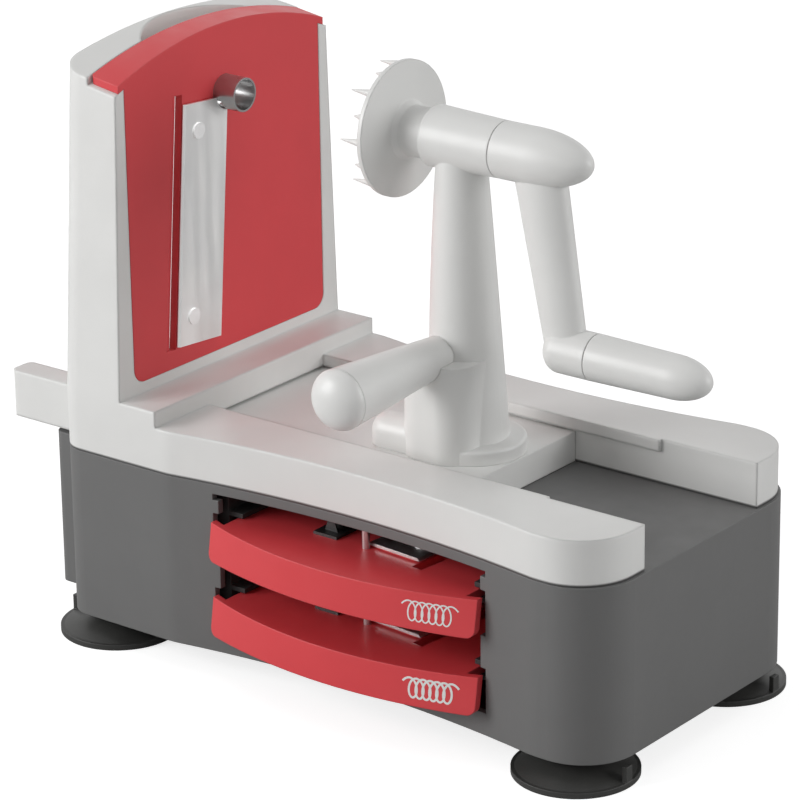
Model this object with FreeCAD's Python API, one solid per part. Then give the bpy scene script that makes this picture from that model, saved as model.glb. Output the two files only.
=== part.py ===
import FreeCAD, Part
import os
from math import cos, hypot, pi, radians, sin, sqrt

# Hand cranked spiral slicer for potatoes.
# X runs along the slide towards the crank, Y to the rear and Z up, all in millimetres.
# Sizes are set out with the deck surface at height 0, the middle plane at Y 0 and the
# crank end of the rails at X 0. Everything moves to the base origin on export.

V = FreeCAD.Vector
os.makedirs("parts", exist_ok=True)

# Clearances
seat_gap = 0.05
press_gap = 0.02
running_gap = 0.04
slide_gap = 0.3
lift_gap = 0.3

# Tub
base_left = -274.5
base_half_width = 71.8
tub_right = 1.5
tub_height = 74.2
tub_wall = 2.8
deck_thickness = 3.0
left_corner = 12.0
right_corner = 24.0
waist_middle = -122.0
waist_half_length = 92.0
waist_depth = 8.3
waist_blend = 30.0
tail_depth = 12.5
tail_half_width = 60.3
tail_height = 68.0
tail_corner = 4.0
corner_shelf_length = 46.0
shelf_thickness = 3.0

# Suction feet
foot_left_inset = 13.8
foot_right_inset = 24.3
foot_y = 52.3
foot_radius = 25.7
foot_height = 11.9
foot_rim = 2.4
foot_neck_radius = 9.0
foot_cup_depth = 4.0
stud_radius = 3.0
stud_length = 17.0
stud_sunk = 5.0
nut_radius = 5.6
nut_height = 4.6
foot_tab_width = 4.0
foot_tab_height = 9.0
foot_skirt_height = 5.0
foot_collar = 3.0
foot_skirt_inset = 1.5

# White frame: rails, foot ledge, head and outrigger arms
rail_height = 19.4
channel_half = 39.3
lip_overhang = 1.7
lip_thickness = 5.0
lip_right = -46.0
ledge_length = 19.0
ledge_height = 26.3
head_depth = 35.5
head_top_half_width = 67.0
head_back_draft = 4.5
arch_end = 159.3
arch_rise = 12.0
arch_flatten = 0.15
window_half = 50.0
window_sill = 38.0
window_sill_drop = 15.0
window_top = 150.0
finger_half = 34.0
finger_depth = 10.0
finger_wall = 1.8
arm_reach = 37.0
arm_root = 19.0
arm_inner = 47.3
arm_thickness = 12.0
arm_low = 1.4
arm_height = 21.9
arm_corner = 3.0

# Screws that hold the frame on the tub
deck_screw_radius = 1.75
deck_screw_length = 12.0
deck_screw_head = 3.4
deck_screw_head_height = 2.2
deck_screw_y = 55.0
deck_screw_x = (-252.0, -208.0, -38.0)

# Insert: a plate with an arched flange, a coring tube and a long blade
plate_half = 61.7
plate_thickness = 3.6
plate_bottom = 31.1
plate_corner = 6.0
flange_half = 65.2
flange_depth = 14.5
flange_thickness = 3.0
flange_corner = 2.0
tongue_half = 45.0
tongue_depth = 1.8
tongue_thickness = 1.8
tube_radius = 7.2
tube_wall = 0.8
tube_reach = 11.0
tube_notch = 4.0
small_tube_radius = 1.6
core_gap = 0.15
blade_width = 27.0
blade_length = 103.0
blade_thickness = 1.2
blade_bevel = 0.9
blade_lean = 4.8
blade_middle_x = -18.1
blade_middle_y = 59.3
blade_land = 0.8
blade_land_inset = 3.0
rivet_offset = -4.5
rivet_spacing = 79.0
rivet_radius = 2.0
rivet_head = 3.5
rivet_head_height = 0.6
rivet_tail = 3.2
rivet_tail_height = 1.0
rivet_tail_sunk = 0.3
blade_slot_width = 2.2
blade_slot_under = 0.3
blade_slot_above = 4.0
blade_slot_below = 1.2
blade_recess_width = 5.4
blade_recess_depth = 1.6
comb_width = 12.0
comb_left = 14.5
comb_bottom = 12.0
comb_top = 112.0
comb_thickness = 1.2
comb_tooth_height = 5.0
comb_tooth_length = 7.0
comb_tooth_thickness = 0.8
comb_fine_pitch = 4.0
comb_wide_pitch = 9.0

# Storage bay for two inserts
storage_middle = -124.0
storage_narrow_half = 66.3
storage_wide_half = 69.0
storage_top = 4.1
storage_lip_top = 6.8
storage_first = 15.4
storage_pitch = 33.0
storage_notch_above = 2.9
storage_notch_below = 0.5
storage_rear_gap = 2.9
stored_flange_half = 67.7
stored_flange_depth = 15.8
stored_flange_corner = 3.5
guide_inset = 10.3
rack_gap = 0.3
guide_web = 2.5
guide_lip = 8.0
guide_rib = 2.0
guide_rib_hold = 2.7
guide_foot = 71.0
bay_floor = 1.5

# Sled
plate_top = 13.3
sled_right = -88.5
sled_length = 140.0
sled_wall = 3.0
sled_rest_gap = 0.3
sled_boss_radius = 6.0
post_x = -113.0
post_foot_radius = 16.6
post_waist_radius = 13.9
post_waist_height = 78.0
post_top_radius = 9.8
post_waist_lean = -2.4
post_lean = -3.3
post_disc_x = -111.5
post_disc_radius = 22.0
post_disc_height = 6.0
block_left = -133.5
block_right = -100.6
block_front = 24.8
block_back = 6.0
block_height = 41.5
block_corner = 12.0
pad_length = 16.0
pad_front = 22.5
pad_back = 7.0
pad_height = 13.0
pad_round = 7.0
post_screw_radius = 1.9
post_screw_length = 22.0
post_screw_head = 3.6
post_screw_head_height = 2.4
post_screw_offset = 9.0

# Bearing sleeve on the post
axis_height = 142.3
sleeve_left = -129.2
sleeve_right = -95.4
sleeve_left_radius = 12.7
sleeve_right_radius = 11.6
sleeve_round = 1.0
bush_radius = 6.5
bush_length = 10.0
shaft_radius = 4.0

# Push handle
handle_x = -118.0
handle_height = 56.0
handle_front = 77.6
handle_back = 11.7
handle_front_radius = 12.6
handle_back_radius = 7.8
handle_nose = 2.5
handle_bore_radius = 9.0
handle_bore_depth = 30.0
cap_dome = 7.9
cap_plug_length = 9.0
cap_plug_wall = 1.6
cap_seam = 0.6
handle_screw_radius = 1.9
handle_screw_length = 20.0
handle_screw_head = 3.6
handle_screw_head_height = 2.4
handle_screw_y = 17.5
handle_screw_bite = 7.0

# Spiked disc
disc_radius = 28.0
disc_face = -147.0
disc_rim = 2.0
disc_dish = 2.6
disc_flare = 2.0
disc_hub_radius = 10.3
disc_web = 1.5
disc_gap = 0.35
spike_radius = 1.7
spike_ring = 26.2
spike_count = 16
spike_long = 9.5
spike_short = 4.0
spike_inner_ring = 13.0
spike_inner_count = 6
disc_screw_radius = 1.5
disc_screw_length = 12.0
disc_screw_head = 3.5
disc_screw_head_height = 2.0

# Crank
crank_gap = 0.35
hub_radius = 11.6
hub_length = 15.0
hub_nose = 27.0
shaft_in_hub = 24.0
crank_radius = 77.4
leg_top_x = -79.0
leg_bottom_x = -64.9
leg_top_half_x = 12.4
leg_bottom_half_x = 9.6
leg_top_half_y = 7.6
leg_bottom_half_y = 6.6
elbow_left = -73.3
elbow_right = -50.9
elbow_radius = 9.6
elbow_round = 7.0
grip_gap = 0.35
grip_tip = 3.5
grip_front_radius = 9.6
grip_back_radius = 9.0
grip_nose = 17.0
pin_radius = 3.0
pin_in_elbow = 13.0
pin_in_grip = 34.0
pin_head_radius = 4.2
pin_head_length = 3.0

# Sizes that follow from the ones above
tail_left = base_left - tail_depth
foot_left_x = base_left + foot_left_inset
foot_right_x = tub_right - foot_right_inset
head_face = base_left + head_depth
ledge_right = head_face + ledge_length
arm_left = base_left - arm_reach
storage_levels = (storage_first, storage_first + storage_pitch)
guide_front = base_half_width - guide_inset
guide_rib_reach = storage_narrow_half - plate_half + guide_rib_hold
waist_radius = (waist_half_length ** 2 + waist_depth ** 2) / (2 * waist_depth)
arch_peak = arch_end + arch_rise
sled_left = sled_right - sled_length
sled_half = channel_half - slide_gap
lip_underside = rail_height - lip_thickness
foot_bottom = -tub_height - foot_height
pin_axis_height = axis_height - crank_radius
cap_tip = -handle_front - cap_dome
base_origin = V((arm_left + grip_tip) / 2, (cap_tip + foot_y + foot_radius) / 2, foot_bottom)


def box(x0, x1, y0, y1, z0, z1):
    return Part.makeBox(x1 - x0, y1 - y0, z1 - z0, V(x0, y0, z0))


def rod(radius, start, end):
    return Part.makeCylinder(radius, (end - start).Length, start, end - start)


def taper(start_radius, end_radius, start, end):
    return Part.makeCone(start_radius, end_radius, (end - start).Length, start, end - start)


def arc(start, middle, end):
    return Part.Arc(start, middle, end).toShape()


def line(start, end):
    return Part.makeLine(start, end)


def fuse_all(solids):
    body = solids[0].fuse(solids[1:]) if len(solids) > 1 else solids[0]
    return body.removeSplitter()


def domed(radius, length, rest, start, direction):
    """Solid turned from a quarter ellipse and the (radius, depth) points that close it."""
    along = V(0, 0, length)
    across = V(radius, 0, 0)
    ends = (along, across) if length > radius else (across, along)
    quarter = Part.ArcOfEllipse(Part.Ellipse(ends[0], ends[1], V(0, 0, 0)), 0, pi / 2)
    edges = [quarter.toBSpline().toShape()]
    points = [along, V(0, 0, 0)] + [V(r, 0, -depth) for r, depth in rest] + [across]
    edges += [line(a, b) for a, b in zip(points, points[1:])]
    wire = Part.Wire(Part.__sortEdges__(edges))
    solid = Part.Face(wire).revolve(V(0, 0, 0), V(0, 0, 1), 360)
    solid.Placement = FreeCAD.Placement(start, FreeCAD.Rotation(V(0, 0, 1), direction))
    return solid


def nose(radius, length, start, direction):
    """Half ellipsoid that closes a round end."""
    return domed(radius, length, [], start, direction)


def turned(profile, height):
    """Solid turned about the crank direction at the given height, from (x, radius) points."""
    points = [V(x, 0, r + height) for x, r in profile]
    points = [V(profile[0][0], 0, height)] + points + [V(profile[-1][0], 0, height)]
    wire = Part.makePolygon(points + [points[0]])
    return Part.Face(wire).revolve(V(0, 0, height), V(1, 0, 0), 360)


def upright_edges(solid, spots):
    """Edges that run mostly upward and whose middle lies near one of the (x, y) spots."""
    found = []
    for edge in solid.Edges:
        low, high = edge.Vertexes[0].Point, edge.Vertexes[-1].Point
        middle = (low + high) * 0.5
        rises = abs(high.z - low.z) > 4 * hypot(high.x - low.x, high.y - low.y)
        if rises and any(hypot(middle.x - x, middle.y - y) < 6 for x, y in spots):
            found.append(edge)
    return found


def plan_outline(right, inset):
    """Plan of the tub and frame: both long sides waisted, rounded corners."""
    left = base_left + inset
    right = right - inset
    half = base_half_width - inset
    near = left_corner - inset
    far = right_corner - inset
    bow = waist_radius + inset
    centre = base_half_width - waist_depth + waist_radius
    reach = sqrt(bow ** 2 - (centre - half) ** 2)
    near_mid = near * (1 - sin(pi / 4))
    far_mid = far * (1 - sin(pi / 4))
    waist_left = waist_middle - reach
    waist_right = waist_middle + reach
    edges = [
        line(V(left + near, -half, 0), V(waist_left, -half, 0)),
        arc(V(waist_left, -half, 0), V(waist_middle, bow - centre, 0), V(waist_right, -half, 0)),
        line(V(waist_right, -half, 0), V(right - far, -half, 0)),
        arc(V(right - far, -half, 0), V(right - far_mid, far_mid - half, 0), V(right, far - half, 0)),
        line(V(right, far - half, 0), V(right, half - far, 0)),
        arc(V(right, half - far, 0), V(right - far_mid, half - far_mid, 0), V(right - far, half, 0)),
        line(V(right - far, half, 0), V(waist_right, half, 0)),
        arc(V(waist_right, half, 0), V(waist_middle, centre - bow, 0), V(waist_left, half, 0)),
        line(V(waist_left, half, 0), V(left + near, half, 0)),
        arc(V(left + near, half, 0), V(left + near_mid, half - near_mid, 0), V(left, half - near, 0)),
        line(V(left, half - near, 0), V(left, near - half, 0)),
        arc(V(left, near - half, 0), V(left + near_mid, near_mid - half, 0), V(left + near, -half, 0)),
    ]
    return Part.Wire(edges)


def prism(wire, low, high):
    face = Part.Face(wire)
    face.translate(V(0, 0, low))
    return face.extrude(V(0, 0, high - low))


def waisted_prism(right, low, high):
    """Prism of the plan with the ends of the waist blended into the flat sides."""
    solid = prism(plan_outline(right, 0), low, high)
    ends = [(waist_middle + end * waist_half_length, side * base_half_width)
            for end in (-1, 1) for side in (-1, 1)]
    return solid.makeFillet(waist_blend, upright_edges(solid, ends))


def foot_places():
    return [(x, y) for x in (foot_left_x, foot_right_x) for y in (-foot_y, foot_y)]


def arch_at(x, drop, depth):
    """Height of the arched top across the middle, below it by a drop and back by a depth."""
    rise = arch_rise - arch_flatten * depth
    radius = (flange_half ** 2 + rise ** 2) / (2 * rise)
    return arch_peak - radius + sqrt((radius - drop) ** 2 - x ** 2)


def under_arch(drop, depth):
    """Everything under the arched top, built flat like the inserts: X across, Y up, Z forward."""
    half = base_half_width + arch_rise
    low = -plate_bottom
    wires = []
    for back in (0, depth):
        end = arch_at(half, drop, back) - plate_bottom
        middle = V(0, arch_peak - drop - plate_bottom, -back)
        edges = [arc(V(-half, end, -back), middle, V(half, end, -back)),
                 line(V(half, end, -back), V(half, low, -back)),
                 line(V(half, low, -back), V(-half, low, -back)),
                 line(V(-half, low, -back), V(-half, end, -back))]
        wires.append(Part.Wire(edges))
    return Part.makeLoft(wires, True, True)


def in_head(solid):
    """Stands a flat-built solid up on the front face of the head."""
    turn = FreeCAD.Rotation(V(0, 1, 0), V(0, 0, 1), V(1, 0, 0))
    solid.Placement = FreeCAD.Placement(V(head_face, 0, plate_bottom), turn).multiply(solid.Placement)
    return solid


# ---------------------------------------------------------------- tub


def make_tub():
    shell = waisted_prism(tub_right, -tub_height, 0)
    shell = shell.cut(prism(plan_outline(tub_right, tub_wall), -tub_height, -deck_thickness))
    tail = box(tail_left, base_left + tub_wall, -tail_half_width, tail_half_width, -tail_height, 0)
    tail_edges = upright_edges(tail, [(tail_left, -tail_half_width), (tail_left, tail_half_width)])
    tail = tail.makeFillet(tail_corner, tail_edges)
    tail_inside = box(tail_left + tub_wall, base_left, tub_wall - tail_half_width,
                      tail_half_width - tub_wall, -tail_height, -deck_thickness)
    shelf_top = -tub_height + shelf_thickness
    shelves = prism(plan_outline(tub_right, tub_wall / 2), -tub_height, shelf_top)
    middle = box(base_left + corner_shelf_length, tub_right - corner_shelf_length,
                 -base_half_width, base_half_width, -tub_height, shelf_top)
    shell = shell.cut(storage_mouth())
    shell = shell.fuse([tail.cut(tail_inside), shelves.cut(middle)])
    for x, y in foot_places():
        shell = shell.cut(rod(stud_radius + seat_gap, V(x, y, -tub_height), V(x, y, shelf_top)))
    for x, y in deck_screw_places():
        shell = shell.cut(rod(deck_screw_radius + seat_gap, V(x, y, -deck_thickness), V(x, y, 0)))
    return shell.removeSplitter()


def storage_mouth():
    """Stepped opening in the front wall for the two stored inserts."""
    front = -base_half_width - 1
    back = -(base_half_width - waist_depth - tub_wall) + 1
    left = storage_middle - storage_narrow_half
    right = storage_middle + storage_narrow_half
    wide_left = storage_middle - storage_wide_half
    wide_right = storage_middle + storage_wide_half
    bottom = -storage_levels[-1] - stored_flange_depth - storage_notch_below
    parts = [box(left, right, front, back, bottom, -storage_top),
             box(wide_left, wide_right, front, back, -storage_lip_top, -storage_top)]
    for level in storage_levels:
        low = -level - stored_flange_depth - storage_notch_below
        parts.append(box(wide_left, wide_right, front, back, low, -level + storage_notch_above))
    return fuse_all(parts)


def make_rack():
    """Open rack under the deck: a floor, two webs and a pair of ribs beside each stored plate."""
    parts = []
    inset = tub_wall + rack_gap
    rear = base_half_width - waist_depth - inset
    for side in (-1, 1):
        inner = storage_middle + side * storage_narrow_half
        x0, x1 = sorted((inner, inner + side * guide_web))
        parts.append(box(x0, x1, -guide_front, rear, -guide_foot, -deck_thickness))
        x0, x1 = sorted((inner, inner + side * guide_lip))
        parts.append(box(x0, x1, -guide_front, guide_web - guide_front, -guide_foot,
                         -deck_thickness))
        x0, x1 = sorted((inner, inner - side * guide_rib_reach))
        for level in storage_levels:
            under = -level - plate_thickness - seat_gap
            above = -level + slide_gap
            parts.append(box(x0, x1, -guide_front, rear, under - guide_rib, under))
            parts.append(box(x0, x1, -guide_front, rear, above, above + guide_rib))
    half = storage_narrow_half + guide_web
    floor = prism(plan_outline(tub_right, inset), -guide_foot, bay_floor - guide_foot)
    parts.append(floor.common(box(storage_middle - half, storage_middle + half,
                                  -base_half_width, base_half_width, -guide_foot, 0)))
    return fuse_all(parts)


# ---------------------------------------------------------------- feet


def make_foot(x, y, outward):
    """Soft suction cup with a flared rim and a small pull tab."""
    top = -tub_height
    rim = foot_bottom + foot_rim
    collar = foot_neck_radius + foot_collar
    neck = rim + foot_skirt_height
    skirt = taper(foot_radius - foot_skirt_inset, collar, V(x, y, rim), V(x, y, neck))
    cup = fuse_all([rod(foot_radius, V(x, y, foot_bottom), V(x, y, rim)), skirt,
                    rod(foot_neck_radius, V(x, y, neck - 1), V(x, y, top)),
                    rod(collar, V(x, y, top - foot_rim), V(x, y, top))])
    hollow = taper(foot_radius - foot_collar, foot_neck_radius, V(x, y, foot_bottom),
                   V(x, y, foot_bottom + foot_cup_depth))
    x0, x1 = sorted((x + outward * (foot_radius - 2.2), x + outward * (foot_radius - 0.2)))
    tab = box(x0, x1, y - foot_tab_width / 2, y + foot_tab_width / 2,
              foot_bottom + 0.5, foot_bottom + foot_tab_height)
    bore = rod(stud_radius + press_gap, V(x, y, top - stud_sunk), V(x, y, top))
    return cup.fuse(tab).removeSplitter().cut(hollow).cut(bore)


def make_stud(x, y):
    low = -tub_height - stud_sunk
    return rod(stud_radius, V(x, y, low), V(x, y, low + stud_length))


def make_nut(x, y):
    low = -tub_height + shelf_thickness
    corners = [V(x + nut_radius * cos(radians(60 * k)), y + nut_radius * sin(radians(60 * k)), low)
               for k in range(6)]
    nut = Part.Face(Part.makePolygon(corners + [corners[0]])).extrude(V(0, 0, nut_height))
    return nut.cut(rod(stud_radius + press_gap, V(x, y, low), V(x, y, low + nut_height)))


# ---------------------------------------------------------------- white frame


def make_frame():
    rails = waisted_prism(0, 0, rail_height)
    rails = rails.cut(box(base_left, 0, -channel_half, channel_half, 0, rail_height))
    parts = [rails, frame_foot(), make_head()]
    for side in (-1, 1):
        edge = side * (channel_half - lip_overhang)
        y0, y1 = sorted((edge, side * (channel_half + 1)))
        parts.append(box(ledge_right, lip_right, y0, y1, lip_underside, rail_height))
        parts.append(make_arm(side))
    frame = fuse_all(parts)
    for x, y in deck_screw_places():
        frame = frame.cut(rod(deck_screw_radius + press_gap, V(x, y, 0),
                              V(x, y, deck_screw_length - deck_thickness)))
    return frame


def frame_foot():
    """Raised ledge at the foot of the head, with the tunnel that the sled runs through."""
    block = waisted_prism(0, 0, ledge_height)
    block = block.common(box(base_left, ledge_right, -base_half_width, base_half_width,
                             0, ledge_height))
    return block.cut(box(base_left, ledge_right, -channel_half, channel_half, 0, lip_underside))


def make_arm(side):
    y0, y1 = sorted((side * arm_inner, side * (arm_inner + arm_thickness)))
    arm = box(arm_left, base_left + arm_root, y0, y1, arm_low, arm_height)
    return arm.makeFillet(arm_corner, upright_edges(arm, [(arm_left, y0), (arm_left, y1)]))


def head_outline(half, back, height):
    """Level section of the head: a flat front and two round corners at the back."""
    mid = left_corner * (1 - sin(pi / 4))
    edges = [
        line(V(head_face, half, height), V(head_face, -half, height)),
        line(V(head_face, -half, height), V(back + left_corner, -half, height)),
        arc(V(back + left_corner, -half, height), V(back + mid, mid - half, height),
            V(back, left_corner - half, height)),
        line(V(back, left_corner - half, height), V(back, half - left_corner, height)),
        arc(V(back, half - left_corner, height), V(back + mid, half - mid, height),
            V(back + left_corner, half, height)),
        line(V(back + left_corner, half, height), V(head_face, half, height)),
    ]
    return Part.Wire(edges)


def make_head():
    """Column that narrows upward from the ledge and ends under the arched top."""
    depth = head_face - base_left
    tip = arch_peak + arch_rise
    share = (tip - ledge_height) / (arch_end - ledge_height)
    narrow = share * (base_half_width - head_top_half_width)
    outlines = [head_outline(base_half_width, base_left, rail_height),
                head_outline(base_half_width, base_left, ledge_height),
                head_outline(base_half_width - narrow, base_left + share * head_back_draft, tip)]
    head = Part.makeLoft(outlines, True, True).common(in_head(under_arch(0, depth + 1)))
    for cutter in (head_window(), insert_pocket(), flange_notch(), finger_notch()):
        head = head.cut(cutter)
    return head


def head_window():
    """Opening behind the insert where the spirals leave."""
    back = base_left - 1
    corners = [V(head_face, -window_half, window_sill), V(head_face, -window_half, window_top),
               V(back, -window_half, window_top),
               V(back, -window_half, window_sill - window_sill_drop)]
    face = Part.Face(Part.makePolygon(corners + [corners[0]]))
    return face.extrude(V(0, 2 * window_half, 0))


def insert_pocket():
    """Shallow seat for the plate and a slot for its bottom tongue."""
    half = plate_half + lift_gap
    radius = plate_corner + lift_gap
    low = plate_bottom - seat_gap
    back = head_face - plate_thickness - seat_gap
    seat = box(back, head_face, -half, half, low, arch_peak + arch_rise)
    corner_edges = [edge for edge in seat.Edges
                    if abs(edge.BoundBox.XLength - (head_face - back)) < 0.01
                    and edge.BoundBox.ZMax < low + 1]
    seat = seat.makeFillet(radius, corner_edges)
    middle = head_face - plate_thickness / 2
    reach = tongue_thickness / 2 + seat_gap
    slot = box(middle - reach, middle + reach, -tongue_half - lift_gap, tongue_half + lift_gap,
               plate_bottom - tongue_depth - lift_gap, plate_bottom + radius)
    return seat.fuse(slot)


def flange_notch():
    """Room for the arched flange on top of the head."""
    depth = flange_depth + lift_gap
    half = base_half_width
    room = box(head_face - depth, head_face, -half, half, plate_bottom, arch_peak + depth)
    return room.cut(in_head(under_arch(flange_thickness + seat_gap, depth)))


def finger_notch():
    """Round scoop behind the flange to lift the insert out."""
    front = head_face - flange_depth
    reach = front - base_left - head_back_draft - finger_wall
    radius = (finger_half ** 2 + reach ** 2) / (2 * reach)
    low = arch_peak - finger_depth
    high = arch_peak + arch_rise
    scoop = rod(radius, V(front - reach + radius, 0, low), V(front - reach + radius, 0, high))
    return scoop.common(box(front - reach, front, -finger_half, finger_half, low, high))


def deck_screw_places():
    return [(x, y) for x in deck_screw_x for y in (-deck_screw_y, deck_screw_y)]


def make_deck_screw(x, y):
    head = rod(deck_screw_head, V(x, y, -deck_thickness - deck_screw_head_height),
               V(x, y, -deck_thickness))
    return head.fuse(rod(deck_screw_radius, V(x, y, -deck_thickness),
                         V(x, y, deck_screw_length - deck_thickness - 1))).removeSplitter()


# ---------------------------------------------------------------- inserts
# Built flat: X across, Y up the plate from its bottom edge, Z out of the cutting face.

blade_turn = FreeCAD.Placement(V(blade_middle_x, blade_middle_y, 0),
                               FreeCAD.Rotation(V(0, 0, 1), -blade_lean))
tube_y = axis_height - plate_bottom


def along_blade(solid):
    solid.Placement = blade_turn.multiply(solid.Placement)
    return solid


def rivet_spots(z):
    return [V(rivet_offset, side * rivet_spacing / 2, z) for side in (-1, 1)]


def rivet_holes(radius, low, high):
    ends = zip(rivet_spots(low), rivet_spots(high))
    return along_blade(Part.makeCompound([rod(radius + seat_gap, a, b) for a, b in ends]))


def make_rivets():
    """Two rivets that clamp the blade on its land, their tails sunk in the back of the plate."""
    front = blade_land + blade_thickness
    low = rivet_tail_sunk - plate_thickness
    rivets = []
    for tail, seat, top in zip(rivet_spots(low), rivet_spots(low + rivet_tail_height),
                               rivet_spots(front)):
        shank = rod(rivet_radius, tail, top)
        head = rod(rivet_head, top, top + V(0, 0, rivet_head_height))
        rivets.append(along_blade(fuse_all([shank, head, rod(rivet_tail, tail, seat)])))
    return rivets


def make_plate(core_radius, flange):
    half = plate_half
    round_mid = plate_corner * (1 - sin(pi / 4))
    top = arch_at(half, 0, 0) - plate_bottom
    peak = arch_peak - plate_bottom
    edges = [
        line(V(plate_corner - half, 0, 0), V(half - plate_corner, 0, 0)),
        arc(V(half - plate_corner, 0, 0), V(half - round_mid, round_mid, 0), V(half, plate_corner, 0)),
        line(V(half, plate_corner, 0), V(half, top, 0)),
        arc(V(half, top, 0), V(0, peak, 0), V(-half, top, 0)),
        line(V(-half, top, 0), V(-half, plate_corner, 0)),
        arc(V(-half, plate_corner, 0), V(round_mid - half, round_mid, 0), V(plate_corner - half, 0, 0)),
    ]
    plate = Part.Face(Part.Wire(edges)).extrude(V(0, 0, -plate_thickness))
    middle = -plate_thickness / 2
    tongue = box(-tongue_half, tongue_half, -tongue_depth, plate_corner,
                 middle - tongue_thickness / 2, middle + tongue_thickness / 2)
    land_left = -blade_width / 2 + blade_land_inset
    land = along_blade(box(land_left, blade_width / 2 - 1, 1 - blade_length / 2,
                           blade_length / 2 - 1, -1, blade_land))
    plate = fuse_all([plate, tongue, flange, land])
    slot_left = -blade_width / 2 - blade_slot_width
    slot_right = -blade_width / 2 + blade_slot_under
    slot = along_blade(box(slot_left, slot_right, -blade_length / 2 - blade_slot_below,
                           blade_length / 2 + blade_slot_above, -plate_thickness, blade_land))
    recess = along_blade(box(-blade_width / 2 - blade_recess_width, slot_right,
                             -blade_length / 2 - blade_slot_below,
                             blade_length / 2 + blade_slot_above, -blade_recess_depth, blade_land))
    tail_top = rivet_tail_sunk + rivet_tail_height - plate_thickness
    plate = plate.cut(slot).cut(recess).cut(rivet_holes(rivet_radius, -plate_thickness, blade_land))
    plate = plate.cut(rivet_holes(rivet_tail, -plate_thickness, tail_top))
    plate = plate.cut(rod(core_radius + press_gap, V(0, tube_y, -plate_thickness),
                          V(0, tube_y, blade_land)))
    return plate


def make_flange(half, depth, corner):
    """Arched rim along the top of an insert."""
    span = box(-half, half, 0, arch_peak, -depth, 0)
    shell_depth = depth + lift_gap
    flange = under_arch(0, shell_depth).cut(under_arch(flange_thickness, shell_depth)).common(span)
    corner_edges = [edge for edge in flange.Edges
                    if edge.BoundBox.ZMax < 1 - depth and edge.Length < 2 * flange_thickness]
    return flange.makeFillet(corner, corner_edges)


def make_tube(core_radius):
    low = V(0, tube_y, -plate_thickness)
    high = V(0, tube_y, tube_reach)
    tube = rod(core_radius, low, high).cut(rod(core_radius - tube_wall, low, high))
    notch = box(-core_radius, -core_radius / 3, tube_y - core_radius, tube_y - core_radius / 3,
                blade_land, tube_notch)
    return tube.cut(notch)


def make_blade(core_radius):
    blade = box(-blade_width / 2, blade_width / 2, -blade_length / 2, blade_length / 2,
                0, blade_thickness)
    edge = [e for e in blade.Edges if e.BoundBox.XMax < 0.01 - blade_width / 2
            and e.BoundBox.ZMin > blade_thickness - 0.01]
    blade = along_blade(blade.makeChamfer(blade_bevel, edge))
    blade = blade.cut(rivet_holes(rivet_radius, 0, blade_thickness))
    blade = blade.cut(rod(core_radius + core_gap, V(0, tube_y, 0), V(0, tube_y, blade_thickness)))
    blade.translate(V(0, 0, blade_land))
    return blade


def make_comb(pitch):
    """Strip with a row of small upright teeth that split the slice into strands."""
    right = comb_left + comb_width
    parts = [box(comb_left, right, comb_bottom, comb_top, 0, comb_thickness)]
    count = int((comb_top - comb_bottom - 6) / pitch)
    middle = comb_left + comb_width / 2
    for k in range(count + 1):
        y = comb_bottom + 3 + k * pitch
        corners = [V(middle - comb_tooth_length / 2, y, comb_thickness / 2),
                   V(middle + comb_tooth_length / 2, y, comb_thickness / 2),
                   V(middle + comb_tooth_length / 5, y, comb_thickness + comb_tooth_height),
                   V(middle - comb_tooth_length / 5, y, comb_thickness + comb_tooth_height)]
        tooth = Part.Face(Part.makePolygon(corners + [corners[0]]))
        parts.append(tooth.extrude(V(0, comb_tooth_thickness, 0)))
    return fuse_all(parts)


def in_store(solid, level):
    turn = FreeCAD.Rotation(V(-1, 0, 0), V(0, -1, 0), V(0, 0, 1))
    rear = base_half_width - waist_depth - tub_wall - storage_rear_gap
    place = FreeCAD.Placement(V(storage_middle, rear - tongue_depth, -level), turn)
    solid.Placement = place.multiply(solid.Placement)
    return solid


# ---------------------------------------------------------------- sled


def post_screw_places():
    return [(post_disc_x + side * post_screw_offset, 0) for side in (-1, 1)]


def make_sled_plate():
    low = sled_rest_gap
    plate = box(sled_left, sled_right, -sled_half, sled_half, low, plate_top)
    plate = plate.cut(box(sled_left + sled_wall, sled_right - sled_wall, sled_wall - sled_half,
                          sled_half - sled_wall, low, plate_top - sled_wall))
    bosses = [(x, y) for x, y in post_screw_places()] + [(handle_x, -handle_screw_y)]
    for x, y in bosses:
        boss = rod(sled_boss_radius, V(x, y, low), V(x, y, plate_top - sled_wall / 2))
        plate = plate.fuse(boss)
    seat = plate_top - sled_wall
    for x, y in post_screw_places():
        plate = plate.cut(rod(post_screw_head + lift_gap, V(x, y, low), V(x, y, seat)))
        plate = plate.cut(rod(post_screw_radius + seat_gap, V(x, y, seat), V(x, y, plate_top)))
    plate = plate.cut(rod(handle_screw_head + lift_gap, V(handle_x, -handle_screw_y, low),
                          V(handle_x, -handle_screw_y, plate_top)))
    return plate.removeSplitter()


def post_core(grow):
    """Tapered round column, leaning a little towards the blade."""
    levels = ((post_x, post_foot_radius, plate_top),
              (post_x + post_waist_lean, post_waist_radius, post_waist_height),
              (post_x + post_lean, post_top_radius, axis_height))
    rings = [Part.Wire(Part.makeCircle(r + grow, V(x, 0, z), V(0, 0, 1))) for x, r, z in levels]
    return Part.makeLoft(rings, True, False)


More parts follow.
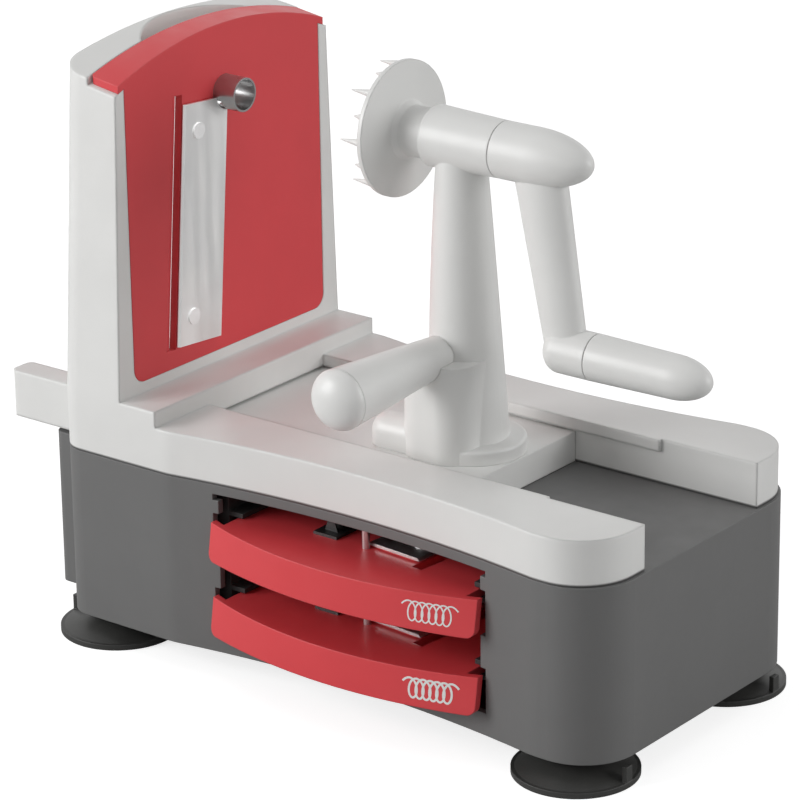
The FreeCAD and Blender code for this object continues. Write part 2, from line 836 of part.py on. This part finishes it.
def make_block():
    """Rounded block in front of the post that carries the push handle."""
    top = plate_top + block_height
    block = box(block_left, block_right, -block_front, -block_back, plate_top, top)
    spots = [(block_left, -block_front), (block_right, -block_front)]
    block = block.makeFillet(block_corner, upright_edges(block, spots))
    pad = box(block_left - pad_length, block_left + block_corner, -pad_front, -pad_back,
              plate_top, plate_top + pad_height)
    high = plate_top + pad_height
    rounded = [e for e in pad.Edges if e.BoundBox.XMax < block_left - pad_length + 0.01
               and e.BoundBox.ZMax > high - 0.01]
    rounded += [e for e in pad.Edges if e.BoundBox.ZMin > high - 0.01
                and e.BoundBox.XLength > 1]
    pad = pad.makeFillet(pad_round, rounded)
    return block.fuse(pad)


def handle_shape(grow):
    start = V(handle_x, -handle_front, handle_height)
    end = V(handle_x, -handle_back, handle_height)
    body = taper(handle_front_radius + grow, handle_back_radius + grow, start, end)
    return body.fuse(nose(handle_back_radius + grow, handle_nose + grow, end, V(0, 1, 0)))


def handle_screw_levels():
    """Underside of the head, underside of the shank and tip of the push handle screw."""
    share = (handle_front - handle_screw_y) / (handle_front - handle_back)
    radius = handle_front_radius + share * (handle_back_radius - handle_front_radius)
    tip = handle_height - radius + handle_screw_bite
    neck = tip - handle_screw_length
    return neck - handle_screw_head_height, neck, tip


def make_post():
    sleeve = taper(sleeve_left_radius, sleeve_right_radius, V(sleeve_left, 0, axis_height),
                   V(sleeve_right, 0, axis_height))
    sleeve = sleeve.makeFillet(sleeve_round, [e for e in sleeve.Edges
                                              if e.BoundBox.XMax < sleeve_left + 0.01])
    disc = rod(post_disc_radius, V(post_disc_x, 0, plate_top),
               V(post_disc_x, 0, plate_top + post_disc_height))
    disc = disc.makeFillet(1.2, [e for e in disc.Edges if e.BoundBox.ZMin > plate_top + 1])
    block = make_block().cut(handle_shape(seat_gap))
    post = fuse_all([post_core(0), disc, block, sleeve])
    post = post.cut(rod(bush_radius + press_gap, V(sleeve_left, 0, axis_height),
                        V(sleeve_right, 0, axis_height)))
    for x, y in post_screw_places():
        post = post.cut(rod(post_screw_radius + press_gap, V(x, y, plate_top),
                            V(x, y, plate_top + post_screw_length)))
    low, neck, tip = handle_screw_levels()
    x, y = handle_x, -handle_screw_y
    post = post.cut(rod(handle_screw_head + lift_gap, V(x, y, plate_top), V(x, y, neck)))
    return post.cut(rod(handle_screw_radius + seat_gap, V(x, y, neck), V(x, y, handle_height)))


def make_post_screw(x, y):
    seat = plate_top - sled_wall
    head = rod(post_screw_head, V(x, y, seat - post_screw_head_height), V(x, y, seat))
    shank = rod(post_screw_radius, V(x, y, seat), V(x, y, plate_top + post_screw_length - 1))
    return head.fuse(shank).removeSplitter()


def make_handle():
    handle = handle_shape(0)
    start = V(handle_x, -handle_front, handle_height)
    handle = handle.cut(rod(handle_bore_radius, start, start + V(0, handle_bore_depth, 0)))
    rim = [e for e in handle.Edges if e.BoundBox.YMax < 0.01 - handle_front
           and e.Length > 6.3 * handle_bore_radius + 1]
    handle = handle.makeChamfer(cap_seam, rim)
    low, neck, tip = handle_screw_levels()
    x, y = handle_x, -handle_screw_y
    handle = handle.cut(rod(handle_screw_radius + press_gap, V(x, y, neck), V(x, y, tip + 1)))
    return handle.cut(post_core(seat_gap)).removeSplitter()


def make_cap():
    """Domed cap with a hollow plug that presses into the bore of the handle."""
    start = V(handle_x, -handle_front, handle_height)
    outer = handle_bore_radius - press_gap
    inner = handle_bore_radius - cap_plug_wall
    plug = [(inner, 0), (inner, cap_plug_length), (outer, cap_plug_length), (outer, 0)]
    return domed(handle_front_radius, cap_dome, plug, start, V(0, -1, 0))


def make_handle_screw():
    low, neck, tip = handle_screw_levels()
    x, y = handle_x, -handle_screw_y
    head = rod(handle_screw_head, V(x, y, low), V(x, y, neck))
    return head.fuse(rod(handle_screw_radius, V(x, y, neck), V(x, y, tip))).removeSplitter()


def make_bush(left):
    start = V(left, 0, axis_height)
    end = V(left + bush_length, 0, axis_height)
    return rod(bush_radius, start, end).cut(rod(shaft_radius + running_gap, start, end))


# ---------------------------------------------------------------- crank


def make_disc():
    back = sleeve_left - disc_gap
    rim = disc_face + disc_rim
    dish = rim + disc_dish
    disc = turned([(disc_face, disc_radius), (rim, disc_radius), (dish, disc_hub_radius + disc_flare),
                   (dish + disc_flare, disc_hub_radius), (back, disc_hub_radius)], axis_height)
    spikes = []
    for ring, count, longer, shorter in ((spike_ring, spike_count, spike_long, spike_short),
                                         (spike_inner_ring, spike_inner_count, spike_long, spike_long)):
        for k in range(count):
            turn = 2 * pi * k / count
            foot = V(disc_face + 0.5, ring * cos(turn), axis_height + ring * sin(turn))
            reach = (longer if k % 2 == 0 else shorter) + 0.5
            spikes.append(taper(spike_radius, 0.25, foot, foot - V(reach, 0, 0)))
    disc = fuse_all([disc] + spikes)
    bore_start = disc_face + disc_web
    disc = disc.cut(rod(shaft_radius + press_gap, V(bore_start, 0, axis_height),
                        V(back, 0, axis_height)))
    return disc.cut(rod(disc_screw_radius + press_gap, V(disc_face, 0, axis_height),
                        V(bore_start, 0, axis_height)))


def make_shaft():
    start = V(disc_face + disc_web + seat_gap, 0, axis_height)
    end = V(sleeve_right + crank_gap + shaft_in_hub - seat_gap, 0, axis_height)
    bore_end = V(disc_face + disc_screw_length + 1, 0, axis_height)
    return rod(shaft_radius, start, end).cut(rod(disc_screw_radius + press_gap, start, bore_end))


def make_disc_screw():
    face = V(disc_face, 0, axis_height)
    head = rod(disc_screw_head, face - V(disc_screw_head_height, 0, 0), face)
    shank = rod(disc_screw_radius, face, face + V(disc_screw_length, 0, 0))
    return head.fuse(shank).removeSplitter()


def ellipse_wire(x, z, half_x, half_y):
    major = V(x + half_x, 0, z)
    minor = V(x, half_y, z)
    return Part.Wire(Part.Ellipse(major, minor, V(x, 0, z)).toShape())


def make_crank():
    left = sleeve_right + crank_gap
    start = V(left, 0, axis_height)
    knee = V(left + hub_length, 0, axis_height)
    hub = rod(hub_radius, start, knee).fuse(nose(hub_radius, hub_nose, knee, V(1, 0, 0)))
    leg = Part.makeLoft([ellipse_wire(leg_top_x, axis_height, leg_top_half_x, leg_top_half_y),
                         ellipse_wire(leg_bottom_x, pin_axis_height, leg_bottom_half_x,
                                      leg_bottom_half_y)], True, True)
    elbow = rod(elbow_radius, V(elbow_left, 0, pin_axis_height), V(elbow_right, 0, pin_axis_height))
    elbow = elbow.makeFillet(elbow_round, [e for e in elbow.Edges
                                           if e.BoundBox.XMax < elbow_left + 0.01])
    crank = fuse_all([hub, leg, elbow])
    crank = crank.cut(rod(shaft_radius + press_gap, start, start + V(shaft_in_hub, 0, 0)))
    seat = V(elbow_right, 0, pin_axis_height)
    return crank.cut(rod(pin_radius + press_gap, seat - V(pin_in_elbow, 0, 0), seat))


def make_pin():
    seat = V(elbow_right, 0, pin_axis_height)
    start = seat - V(pin_in_elbow - seat_gap, 0, 0)
    neck = seat + V(pin_in_grip, 0, 0)
    head = rod(pin_head_radius, neck, neck + V(pin_head_length, 0, 0))
    return rod(pin_radius, start, neck).fuse(head).removeSplitter()


def make_grip():
    start = V(elbow_right + grip_gap, 0, pin_axis_height)
    knee = V(grip_tip - grip_nose, 0, pin_axis_height)
    grip = taper(grip_front_radius, grip_back_radius, start, knee)
    grip = grip.fuse(nose(grip_back_radius, grip_nose, knee, V(1, 0, 0))).removeSplitter()
    neck = V(elbow_right + pin_in_grip - lift_gap, 0, pin_axis_height)
    room = neck + V(pin_head_length + 2 * lift_gap, 0, 0)
    grip = grip.cut(rod(pin_radius + running_gap, start, neck))
    return grip.cut(rod(pin_head_radius + lift_gap, neck, room))


# ---------------------------------------------------------------- export


def export(name, solids):
    shape = solids[0].copy() if len(solids) == 1 else Part.makeCompound([s.copy() for s in solids])
    shape.translate(-base_origin)
    shape.exportStep("parts/" + name + ".step")


export("base_tub", [make_tub()])
export("storage_rack", [make_rack()])
export("top_frame", [make_frame()])
export("deck_screws", [make_deck_screw(x, y) for x, y in deck_screw_places()])
corner_names = ("left_front", "left_rear", "right_front", "right_rear")
for name, (x, y) in zip(corner_names, foot_places()):
    export("suction_foot_" + name, [make_foot(x, y, 1 if x > waist_middle else -1)])
export("foot_studs", [make_stud(x, y) for x, y in foot_places()])
export("foot_nuts", [make_nut(x, y) for x, y in foot_places()])

export("sled_plate", [make_sled_plate()])
export("sled_post", [make_post()])
export("post_screws", [make_post_screw(x, y) for x, y in post_screw_places()])
export("push_handle", [make_handle()])
export("push_handle_cap", [make_cap()])
export("push_handle_screw", [make_handle_screw()])
export("sleeve_bush_left", [make_bush(sleeve_left + 0.5)])
export("sleeve_bush_right", [make_bush(sleeve_right - 0.5 - bush_length)])

export("spiked_disc", [make_disc()])
export("crank_shaft", [make_shaft()])
export("disc_screw", [make_disc_screw()])
export("crank_arm", [make_crank()])
export("grip_pin", [make_pin()])
export("crank_grip", [make_grip()])

fitted_flange = make_flange(flange_half, flange_depth, flange_corner)
stored_flange = make_flange(stored_flange_half, stored_flange_depth, stored_flange_corner)
export("fitted_plate", [in_head(make_plate(tube_radius, fitted_flange))])
export("fitted_coring_tube", [in_head(make_tube(tube_radius))])
export("fitted_blade", [in_head(make_blade(tube_radius))])
export("fitted_blade_rivets", [in_head(rivet) for rivet in make_rivets()])
for name, level, pitch in (("upper", storage_levels[0], comb_fine_pitch),
                           ("lower", storage_levels[1], comb_wide_pitch)):
    export(name + "_plate", [in_store(make_plate(small_tube_radius, stored_flange), level)])
    export(name + "_coring_tube", [in_store(make_tube(small_tube_radius), level)])
    export(name + "_blade", [in_store(make_blade(small_tube_radius), level)])
    export(name + "_blade_rivets", [in_store(rivet, level) for rivet in make_rivets()])
    export(name + "_comb", [in_store(make_comb(pitch), level)])
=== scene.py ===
from math import cos, pi, radians, sin

import bpy
from mathutils import Matrix, Vector
from mathutils.bvhtree import BVHTree


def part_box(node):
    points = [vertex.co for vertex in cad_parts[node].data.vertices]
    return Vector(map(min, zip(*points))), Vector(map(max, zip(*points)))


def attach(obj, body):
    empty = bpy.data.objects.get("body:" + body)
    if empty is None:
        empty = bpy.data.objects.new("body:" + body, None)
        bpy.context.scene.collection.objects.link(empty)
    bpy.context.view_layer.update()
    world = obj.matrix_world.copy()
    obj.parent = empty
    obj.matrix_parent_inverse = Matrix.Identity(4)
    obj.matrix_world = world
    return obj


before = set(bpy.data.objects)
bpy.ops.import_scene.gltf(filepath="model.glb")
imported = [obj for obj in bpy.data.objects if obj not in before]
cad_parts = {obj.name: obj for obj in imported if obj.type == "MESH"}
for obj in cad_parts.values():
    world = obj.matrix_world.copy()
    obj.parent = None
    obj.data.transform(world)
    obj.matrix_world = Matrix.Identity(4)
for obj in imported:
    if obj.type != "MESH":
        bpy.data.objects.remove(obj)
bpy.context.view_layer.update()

# Hand cranked spiral slicer. Metres, +X along the slide to the crank, +Y to the rear, +Z up.

MM = 0.001
LEVELS = ("upper", "lower")

# ---------------------------------------------------------------- objects and shader nodes

# The values of a noise texture mostly lie between these two.
NOISE_LOW = 0.3
NOISE_HIGH = 0.7

PLAIN_DETAIL = 2.0
CLOUD_DETAIL = 3.0
STREAK_DETAIL = 4.0
BEVEL_SAMPLES = 6

# Cosines between the rounded and the flat normal where the edge mask is full and where it ends.
EDGE_FULL = 0.75
EDGE_END = 0.995

# Painted shade: a dark band just above a seam, where light does not reach.
SEAM_SHADE_WIDTH = 1.4 * MM
SEAM_SHADE_SHARE = 0.9
SEAM_SHADE_COLOUR = (0.05, 0.05, 0.05)


def add_object(name, data):
    made = bpy.data.objects.new(name, data)
    bpy.context.collection.objects.link(made)
    return made


def cleared(owner):
    """Gives a material or world an empty node tree."""
    owner.use_nodes = True
    owner.node_tree.nodes.clear()
    return owner.node_tree


def fill(tree, node, inputs):
    """Links each socket to the input it belongs to and writes each plain value into its input."""
    for name, value in inputs.items():
        if isinstance(value, bpy.types.NodeSocket):
            tree.links.new(value, node.inputs[name])
        else:
            node.inputs[name].default_value = value


def add(tree, kind, inputs=None, **settings):
    """Adds a shader node, sets its properties, then fills its inputs."""
    made = tree.nodes.new(kind)
    for name, value in settings.items():
        setattr(made, name, value)
    fill(tree, made, inputs or {})
    return made


def noise(tree, place, size, detail=PLAIN_DETAIL):
    """Noise whose features measure about the given size in metres."""
    made = add(tree, "ShaderNodeTexNoise", {"Vector": place, "Scale": 1 / size, "Detail": detail})
    return made.outputs["Fac"]


def spread(tree, value, low, high, start=NOISE_LOW, end=NOISE_HIGH):
    """Maps a value that runs from start to end onto low to high."""
    made = add(tree, "ShaderNodeMapRange", {"Value": value, "From Min": start, "From Max": end,
                                            "To Min": low, "To Max": high})
    return made.outputs["Result"]


def with_alpha(colour):
    """Leaves a socket as it is and gives three numbers their alpha."""
    return colour if isinstance(colour, bpy.types.NodeSocket) else (*colour, 1)


def mixed(tree, factor, first, second):
    """Mixes two colours, each of them a socket or three numbers."""
    made = add(tree, "ShaderNodeMix", {"Factor": factor, "A": with_alpha(first),
                                       "B": with_alpha(second)}, data_type="RGBA")
    return made.outputs["Result"]


def rounded(tree, radius):
    return add(tree, "ShaderNodeBevel", {"Radius": radius}, samples=BEVEL_SAMPLES).outputs["Normal"]


def bumped(tree, height, strength, depth, **normal):
    made = add(tree, "ShaderNodeBump", {"Height": height, "Strength": strength, "Distance": depth,
                                        **normal})
    return made.outputs["Normal"]


def edge_mask(tree, normal):
    """Bright where the rounded normal leaves the flat one, which is along the edges."""
    flat = add(tree, "ShaderNodeNewGeometry").outputs["Normal"]
    dot = add(tree, "ShaderNodeVectorMath", {0: normal, 1: flat}, operation="DOT_PRODUCT")
    return spread(tree, dot.outputs["Value"], 1, 0, EDGE_FULL, EDGE_END)


def painted_seam_shade(tree, colour, height):
    """Paints shade: darkens a narrow band above the given height, where the seam lets no light in."""
    position = add(tree, "ShaderNodeNewGeometry").outputs["Position"]
    level = add(tree, "ShaderNodeSeparateXYZ", {"Vector": position}).outputs["Z"]
    near = spread(tree, level, SEAM_SHADE_SHARE, 0, height + SEAM_SHADE_WIDTH / 2, height + SEAM_SHADE_WIDTH)
    return mixed(tree, near, colour, SEAM_SHADE_COLOUR)


def start_material(name):
    made = bpy.data.materials.new(name)
    tree = cleared(made)
    shader = add(tree, "ShaderNodeBsdfPrincipled")
    add(tree, "ShaderNodeOutputMaterial", {"Surface": shader.outputs["BSDF"]})
    place = add(tree, "ShaderNodeTexCoord").outputs["Object"]
    return made, tree, shader, place


# ---------------------------------------------------------------- plastic and rubber

CLOUD_SIZE = 35 * MM
CLOUD_SHADE = 0.955
EDGE_PATCH_SIZE = 6 * MM
EDGE_PATCH_LEAST = 0.1
EDGE_PATCH_MOST = 0.6
SMEAR_SIZE = 12 * MM
SMEAR_SMOOTHER = 0.05
SMEAR_ROUGHER = 0.06
GRAIN_DEPTH = 0.1 * MM


def moulded(name, colour, edge_colour, roughness, grain, grain_size, edge, seam=None):
    """Injection moulded plastic: cloudy colour, fine grain and soft edges that turn towards the edge
    colour in random patches.

    A seam height adds painted shade, a dark band just above the seam where this piece sits on the one
    below it.
    """
    made, tree, shader, place = start_material(name)
    normal = rounded(tree, edge)
    cloud = spread(tree, noise(tree, place, CLOUD_SIZE, CLOUD_DETAIL), 0, 1)
    base = mixed(tree, cloud, [c * CLOUD_SHADE for c in colour], colour)
    # Along the edges the colour turns towards the lighter edge colour in random patches.
    patches = spread(tree, noise(tree, place, EDGE_PATCH_SIZE), EDGE_PATCH_LEAST, EDGE_PATCH_MOST)
    edge_share = add(tree, "ShaderNodeMath", {0: edge_mask(tree, normal), 1: patches}, operation="MULTIPLY")
    final = mixed(tree, edge_share.outputs["Value"], base, edge_colour)
    if seam is not None:
        final = painted_seam_shade(tree, final, seam)
    smear = noise(tree, place, SMEAR_SIZE, STREAK_DETAIL)
    grains = noise(tree, place, grain_size, CLOUD_DETAIL)
    fill(tree, shader, {
        "Base Color": final,
        "Roughness": spread(tree, smear, roughness - SMEAR_SMOOTHER, roughness + SMEAR_ROUGHER),
        "Normal": bumped(tree, grains, grain, GRAIN_DEPTH, Normal=normal),
    })
    return made


FRAME_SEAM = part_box("top_frame")[0][2]
SATIN_WHITE = {"colour": (0.80, 0.80, 0.785), "edge_colour": (0.84, 0.84, 0.83), "roughness": 0.36,
               "grain": 0.10, "grain_size": 0.6 * MM}

WHITE = moulded("white_plastic", **SATIN_WHITE, edge=0.9 * MM)
# The frame's material paints shade just above the seam at its lowest edge.
FRAME_WHITE = moulded("frame_plastic", **SATIN_WHITE, edge=1.8 * MM, seam=FRAME_SEAM)
TUB = moulded("tub_plastic", colour=(0.150, 0.150, 0.149), edge_colour=(0.22, 0.22, 0.22),
              roughness=0.52, grain=0.30, grain_size=0.5 * MM, edge=0.6 * MM)
RED = moulded("red_plastic", colour=(0.72, 0.055, 0.065), edge_colour=(0.77, 0.12, 0.13),
              roughness=0.42, grain=0.12, grain_size=0.6 * MM, edge=0.7 * MM)
# Dark rack plastic, darkened further as painted shade so that the storage bay stays dark inside.
RACK_PLASTIC_AND_SHADE = moulded("rack_plastic_and_painted_shade", colour=(0.030, 0.030, 0.030), edge_colour=(0.05, 0.05, 0.05),
               roughness=0.60, grain=0.30, grain_size=0.5 * MM, edge=0.4 * MM)
RUBBER = moulded("foot_rubber", colour=(0.038, 0.038, 0.036), edge_colour=(0.07, 0.07, 0.07),
                 roughness=0.46, grain=0.25, grain_size=0.8 * MM, edge=0.5 * MM)
BUSH = moulded("bush_plastic", colour=(0.62, 0.62, 0.58), edge_colour=(0.66, 0.66, 0.63),
               roughness=0.42, grain=0.10, grain_size=0.6 * MM, edge=0.2 * MM)

# ---------------------------------------------------------------- steel

STEEL_CLOUD_SIZE = 20 * MM
STREAK_SMOOTHER = 0.07
STREAK_ROUGHER = 0.09
STREAK_BUMP = 0.05
STREAK_DEPTH = 0.05 * MM


def steel(name, colour, dark, roughness, streaks, edge):
    """Ground steel with fine streaks; streaks gives the streaks per metre along each axis."""
    made, tree, shader, place = start_material(name)
    squeezed = add(tree, "ShaderNodeMapping", {"Vector": place, "Scale": streaks}).outputs["Vector"]
    lines = noise(tree, squeezed, 1, STREAK_DETAIL)
    cloud = spread(tree, noise(tree, place, STEEL_CLOUD_SIZE, CLOUD_DETAIL), 0, 1)
    fill(tree, shader, {
        "Base Color": mixed(tree, cloud, dark, colour),
        "Metallic": 1.0,
        "Roughness": spread(tree, lines, roughness - STREAK_SMOOTHER, roughness + STREAK_ROUGHER),
        "Normal": bumped(tree, lines, STREAK_BUMP, STREAK_DEPTH, Normal=rounded(tree, edge)),
    })
    return made


BLADE = steel("blade_steel", colour=(0.95, 0.95, 0.94), dark=(0.91, 0.91, 0.91), roughness=0.36,
              streaks=(60, 120, 12), edge=0.1 * MM)
# Painted shade: a darker copy of the blade steel for the stored pieces, which sit in the shaded storage
# bay.
STORED_SHADED_STEEL = steel("stored_steel_painted_shade", colour=(0.70, 0.70, 0.70), dark=(0.58, 0.58, 0.58), roughness=0.34,
               streaks=(4000, 90, 900), edge=0.1 * MM)
TUBE = steel("tube_steel", colour=(0.46, 0.46, 0.46), dark=(0.36, 0.36, 0.36), roughness=0.30,
             streaks=(60, 60, 60), edge=0.1 * MM)
RIVET = steel("rivet_steel", colour=(0.98, 0.98, 0.98), dark=(0.95, 0.95, 0.95), roughness=0.45,
              streaks=(900, 900, 900), edge=0.2 * MM)
ZINC = steel("fastener_steel", colour=(0.60, 0.60, 0.60), dark=(0.50, 0.50, 0.52), roughness=0.34,
             streaks=(2500, 2500, 2500), edge=0.1 * MM)
# Painted shade: the comb teeth get near-black steel for the dark slot they sit in.
COMB_SHADED_STEEL = steel("comb_steel_painted_shade", colour=(0.10, 0.10, 0.10), dark=(0.06, 0.06, 0.06), roughness=0.50,
             streaks=(900, 900, 900), edge=0.1 * MM)

# ---------------------------------------------------------------- looks of the CAD nodes

LOOKS = {
    "base_tub": TUB, "storage_rack": RACK_PLASTIC_AND_SHADE, "top_frame": FRAME_WHITE, "sled_plate": WHITE,
    "sled_post": WHITE, "push_handle": WHITE, "push_handle_cap": WHITE, "spiked_disc": WHITE,
    "crank_arm": WHITE, "crank_grip": WHITE, "sleeve_bush_left": BUSH, "sleeve_bush_right": BUSH,
    "fitted_plate": RED, "fitted_blade": BLADE, "fitted_blade_rivets": RIVET,
    "fitted_coring_tube": TUBE,
}
for corner in ("left_front", "left_rear", "right_front", "right_rear"):
    LOOKS[f"suction_foot_{corner}"] = RUBBER
for level in LEVELS:
    LOOKS[f"{level}_plate"] = RED
    LOOKS[f"{level}_blade"] = STORED_SHADED_STEEL
    LOOKS[f"{level}_coring_tube"] = STORED_SHADED_STEEL
    LOOKS[f"{level}_comb"] = COMB_SHADED_STEEL
    LOOKS[f"{level}_blade_rivets"] = RIVET

# The nodes without a look of their own are screws, studs, nuts, pins and the shaft.
for name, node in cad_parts.items():
    node.data.materials.clear()
    node.data.materials.append(LOOKS.get(name, ZINC))

# ---------------------------------------------------------------- coil marks on the drawer fronts

SPECK_SIZE = 0.6 * MM
SPECK_SHADE = 0.9
INK_SMOOTH = 0.35
INK_ROUGH = 0.55
INK_BUMP = 0.1
INK_DEPTH = 0.02 * MM
INK_LIFT = 0.03 * MM

COIL_LEFT = 70.6 * MM
COIL_LOOPS = 6
COIL_PITCH = 2.88 * MM
COIL_HALF_WIDTH = 2.4 * MM
COIL_HALF_HEIGHT = 4.1 * MM
COIL_ABOVE_RIM = 7.8 * MM
COIL_STEPS = 28
HOOK_REACH = 3.0 * MM
HOOK_DROP = 1.8 * MM
HOOK_STEPS = 8
COIL_STROKES = {"upper": 0.62 * MM, "lower": 0.9 * MM}

# A ray that starts this far in front of the object and runs to the rear meets a drawer's front.
RAY_START = -1
TO_REAR = Vector((0, 1, 0))


def print_ink(name, colour):
    """Pad printed ink: almost even, with a little speckle in coverage and gloss."""
    made, tree, shader, place = start_material(name)
    speck = noise(tree, place, SPECK_SIZE)
    fill(tree, shader, {
        "Base Color": mixed(tree, spread(tree, speck, 0, 1), [c * SPECK_SHADE for c in colour], colour),
        "Roughness": spread(tree, speck, INK_SMOOTH, INK_ROUGH),
        "Normal": bumped(tree, speck, INK_BUMP, INK_DEPTH),
    })
    return made


def front_of(node):
    """Gives a function that finds the point at x and z on a node's front face, lifted off it."""
    mesh = node.data
    tree = BVHTree.FromPolygons([v.co for v in mesh.vertices], [p.vertices for p in mesh.polygons])

    def touch(x, z, lift):
        spot, normal = tree.ray_cast(Vector((x, RAY_START, z)), TO_REAR)[:2]
        return spot + normal.normalized() * lift
    return touch


def ribbon(name, path, width, touch, lift, ink):
    """Thin printed band along an (x, z) path, laid on a curved face.

    It rises evenly from one lift to two, so that crossing loops don't share a plane.
    """
    verts = []
    faces = []
    for k, (x, z) in enumerate(path):
        x0, z0 = path[max(k - 1, 0)]
        x1, z1 = path[min(k + 1, len(path) - 1)]
        along = Vector((x1 - x0, 0, z1 - z0)).normalized()
        side = Vector((-along.z, 0, along.x)) * width / 2
        height = lift * (1 + k / len(path))
        verts += [touch(x - side.x, z - side.z, height), touch(x + side.x, z + side.z, height)]
        if k:
            faces.append((2 * k - 2, 2 * k - 1, 2 * k + 1, 2 * k))
    mesh = bpy.data.meshes.new(name)
    mesh.from_pydata(verts, [], faces)
    mesh.materials.append(ink)
    return add_object(name, mesh)


def coil_path(z_middle):
    """Loops of a wire spring seen from the side, with a short hook at each end."""
    points = []
    for k in range(COIL_LOOPS * COIL_STEPS + 1):
        turn = 2 * pi * k / COIL_STEPS
        x = COIL_LEFT + COIL_PITCH * k / COIL_STEPS + COIL_HALF_WIDTH * sin(turn)
        points.append((x, z_middle + COIL_HALF_HEIGHT * cos(turn)))
    left, top = points[0]
    right = points[-1][0]
    shares = [1 - k / HOOK_STEPS for k in range(HOOK_STEPS)]
    first = [(left - HOOK_REACH * share, top - HOOK_DROP * share ** 2) for share in shares]
    last = [(right + HOOK_REACH * share, top - HOOK_DROP * share ** 2) for share in reversed(shares)]
    return first + points + last


INK = print_ink("white_ink", (0.86, 0.86, 0.85))
for level in LEVELS:
    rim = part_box(f"{level}_plate")[0][2]
    touch = front_of(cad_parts[f"{level}_plate"])
    path = coil_path(rim + COIL_ABOVE_RIM)
    mark = ribbon(f"coil_mark_{level}", path, COIL_STROKES[level], touch, INK_LIFT, INK)
    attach(mark, f"{level}_insert")

# ---------------------------------------------------------------- floor

FLOOR_HALF = 6.0
FLOOR_DARK = (0.62, 0.62, 0.62)
FLOOR_PALE = (0.64, 0.64, 0.64)
FLOOR_CLOUD_SIZE = 0.4
FLOOR_GLOW = 0.75


def floor_material():
    """Pale floor that shows white to the camera and keeps the object's shadow."""
    made = bpy.data.materials.new("studio_floor")
    tree = cleared(made)
    place = add(tree, "ShaderNodeTexCoord").outputs["Object"]
    colour = mixed(tree, noise(tree, place, FLOOR_CLOUD_SIZE), FLOOR_DARK, FLOOR_PALE)
    matte = add(tree, "ShaderNodeBsdfDiffuse", {"Color": colour})
    seen = add(tree, "ShaderNodeLightPath").outputs["Is Camera Ray"]
    lift = add(tree, "ShaderNodeMath", {0: seen, 1: FLOOR_GLOW}, operation="MULTIPLY")
    glow = add(tree, "ShaderNodeEmission", {"Strength": lift.outputs["Value"]})
    both = add(tree, "ShaderNodeAddShader", {0: matte.outputs["BSDF"], 1: glow.outputs["Emission"]})
    add(tree, "ShaderNodeOutputMaterial", {"Surface": both.outputs["Shader"]})
    return made


def add_floor():
    mesh = bpy.data.meshes.new("studio_floor")
    corners = [(-FLOOR_HALF, -FLOOR_HALF, 0), (FLOOR_HALF, -FLOOR_HALF, 0),
               (FLOOR_HALF, FLOOR_HALF, 0), (-FLOOR_HALF, FLOOR_HALF, 0)]
    mesh.from_pydata(corners, [], [(0, 1, 2, 3)])
    mesh.materials.append(floor_material())
    return add_object("studio_floor", mesh)


floor = add_floor()

# ---------------------------------------------------------------- light

MIDDLE = Vector((0, 0, 0.12))

# Each lamp's name, place, side length and power in watts. All face the object's middle.
LAMPS = (
    ("key", (-1.55, -1.85, 0.95), 1.4, 44),
    ("top", (-0.2, 0.1, 2.2), 1.6, 4),
    ("end", (2.0, 0.9, 0.8), 1.2, 18),
)

# The sky's strength on surfaces, and to the camera and in reflections.
SKY_ON_SURFACES = 0.30
SKY_SEEN = 1.0


def add_lamp(name, place, side, power):
    lamp = bpy.data.lights.new(name, "AREA")
    lamp.shape = "SQUARE"
    lamp.size = side
    lamp.energy = power
    aim = MIDDLE - Vector(place)
    turn = aim.to_track_quat("-Z", "Y").to_matrix().to_4x4()
    add_object(name, lamp).matrix_world = Matrix.Translation(place) @ turn


def add_sky():
    """White sky, bright where it is seen or reflected and weaker as light on matte surfaces."""
    world = bpy.data.worlds.new("studio")
    bpy.context.scene.world = world
    tree = cleared(world)
    ray = add(tree, "ShaderNodeLightPath").outputs
    seen = add(tree, "ShaderNodeMath", {0: ray["Is Camera Ray"], 1: ray["Is Glossy Ray"]},
               operation="MAXIMUM")
    either = add(tree, "ShaderNodeMath", {0: seen.outputs["Value"], 1: ray["Is Transmission Ray"]},
                 operation="MAXIMUM")
    strength = spread(tree, either.outputs["Value"], SKY_ON_SURFACES, SKY_SEEN, 0, 1)
    back = add(tree, "ShaderNodeBackground", {"Color": (1, 1, 1, 1), "Strength": strength})
    add(tree, "ShaderNodeOutputWorld", {"Surface": back.outputs["Background"]})


for lamp_row in LAMPS:
    add_lamp(*lamp_row)
add_sky()

# ---------------------------------------------------------------- camera at the photograph's angle

AZIMUTH = radians(38.1256)
ELEVATION = radians(20.4994)
ROLL = radians(-0.7894)
CAMERA_PLACE = Vector((954.8, -1206.45, 686.8)) * MM
SENSOR_WIDTH = 36.0
FOCAL_LENGTH = 180.06
VIEW_END = 50


def add_camera():
    """Camera whose back points along azimuth and elevation, rolled about its line of sight."""
    back_way = Vector((sin(AZIMUTH) * cos(ELEVATION), -cos(AZIMUTH) * cos(ELEVATION), sin(ELEVATION)))
    level_right = Vector((0, 0, 1)).cross(back_way).normalized()
    level_up = back_way.cross(level_right)
    right = cos(ROLL) * level_right + sin(ROLL) * level_up
    up = cos(ROLL) * level_up - sin(ROLL) * level_right
    lens = bpy.data.cameras.new("camera")
    lens.sensor_width = SENSOR_WIDTH
    lens.lens = FOCAL_LENGTH
    lens.clip_end = VIEW_END
    camera = add_object("camera", lens)
    turn = Matrix((right, up, back_way)).transposed().to_4x4()
    camera.matrix_world = Matrix.Translation(CAMERA_PLACE) @ turn
    bpy.context.scene.camera = camera


add_camera()
bpy.context.scene.view_settings.view_transform = "Standard"
